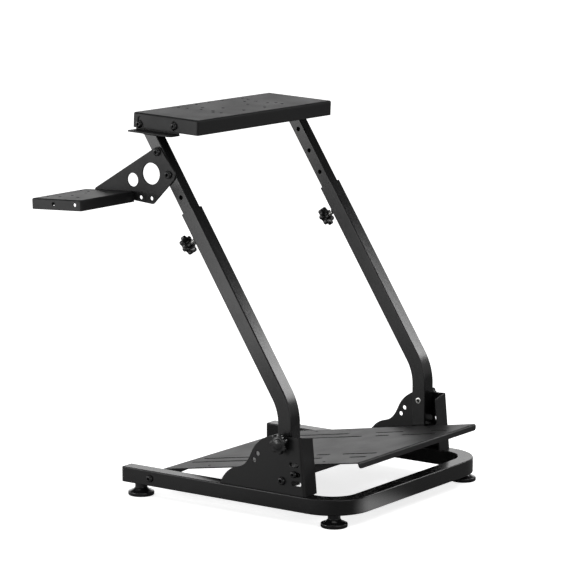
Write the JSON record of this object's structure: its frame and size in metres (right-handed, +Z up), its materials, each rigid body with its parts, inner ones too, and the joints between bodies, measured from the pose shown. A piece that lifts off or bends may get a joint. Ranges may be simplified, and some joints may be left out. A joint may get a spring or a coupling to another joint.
{
  "type": "racing wheel stand",
  "caption": "Folding floor stand of black square tube with a sloping slotted pedal plate, a height-adjustable wheel deck on bent uprights and a side tray for a gear shifter.",
  "frame": {"origin": "on the floor below the middle of the whole stand's box", "axes": "+X to the driver's right, +Y forward towards the toe end of the pedals, +Z up"},
  "size_m": [0.6632, 0.6032, 0.7293],
  "materials": {
    "black_powder_coat": "satin",
    "knob_plastic": "semi gloss",
    "foot_plastic": "satin",
    "cap_plastic": "matte",
    "zinc_plated": "bright",
    "black_bolt": "satin"
  },
  "bodies": {
    "base": {"base_frame": "black_powder_coat", "end_cap_right": "cap_plastic", "end_cap_left": "cap_plastic", "rear_foot_right": "foot_plastic", "rear_foot_left": "foot_plastic", "front_foot_right": "foot_plastic", "front_foot_left": "foot_plastic", "gusset_right": "black_powder_coat", "gusset_left": "black_powder_coat", "pivot_bolt_right": "black_bolt", "pivot_bolt_left": "black_bolt", "pedal_plate": "black_powder_coat", "pedal_brace": "black_powder_coat", "pedal_spacer_right": "zinc_plated", "pedal_spacer_left": "zinc_plated"},
    "uprights": {"lower_upright_right": "black_powder_coat", "lower_upright_left": "black_powder_coat"},
    "wheel_mount": {"upper_tube_right": "black_powder_coat", "upper_tube_left": "black_powder_coat", "deck_bracket_right": "black_powder_coat", "deck_bracket_left": "black_powder_coat", "wheel_deck": "black_powder_coat", "shifter_plate": "black_powder_coat", "shifter_tray": "black_powder_coat"},
    "right_lock_knob": {"lock_knob_right": "knob_plastic"},
    "right_height_knob": {"height_knob_right": "knob_plastic", "height_stud_right": "zinc_plated"},
    "left_lock_knob": {"lock_knob_left": "knob_plastic"},
    "left_height_knob": {"height_knob_left": "knob_plastic", "height_stud_left": "zinc_plated"}
  },
  "joints": [
    {"name": "upright_fold", "type": "hinge", "parent": "base", "child": "uprights", "pos_m": [-0.06715, 0.16171, 0.077], "axis": [1, 0, 0], "range_deg": [0, 64]},
    {"name": "height_slide", "type": "slide", "parent": "uprights", "child": "wheel_mount", "axis": [0, -0.5402, 0.8415], "range_m": [-0.05, 0.1]},
    {"name": "right_lock_knob_turn", "type": "hinge", "parent": "base", "child": "right_lock_knob", "pos_m": [0.18085, 0.16171, 0.1475], "axis": [1, 0, 0], "continuous": true},
    {"name": "right_height_knob_turn", "type": "hinge", "parent": "uprights", "child": "right_height_knob", "pos_m": [0.15815, -0.04648, 0.50502], "axis": [0, -0.8415, -0.5402], "continuous": true},
    {"name": "left_lock_knob_turn", "type": "hinge", "parent": "base", "child": "left_lock_knob", "pos_m": [-0.31515, 0.16171, 0.1475], "axis": [-1, 0, 0], "continuous": true},
    {"name": "left_height_knob_turn", "type": "hinge", "parent": "uprights", "child": "left_height_knob", "pos_m": [-0.29245, -0.04648, 0.50502], "axis": [0, -0.8415, -0.5402], "continuous": true}
  ]
}
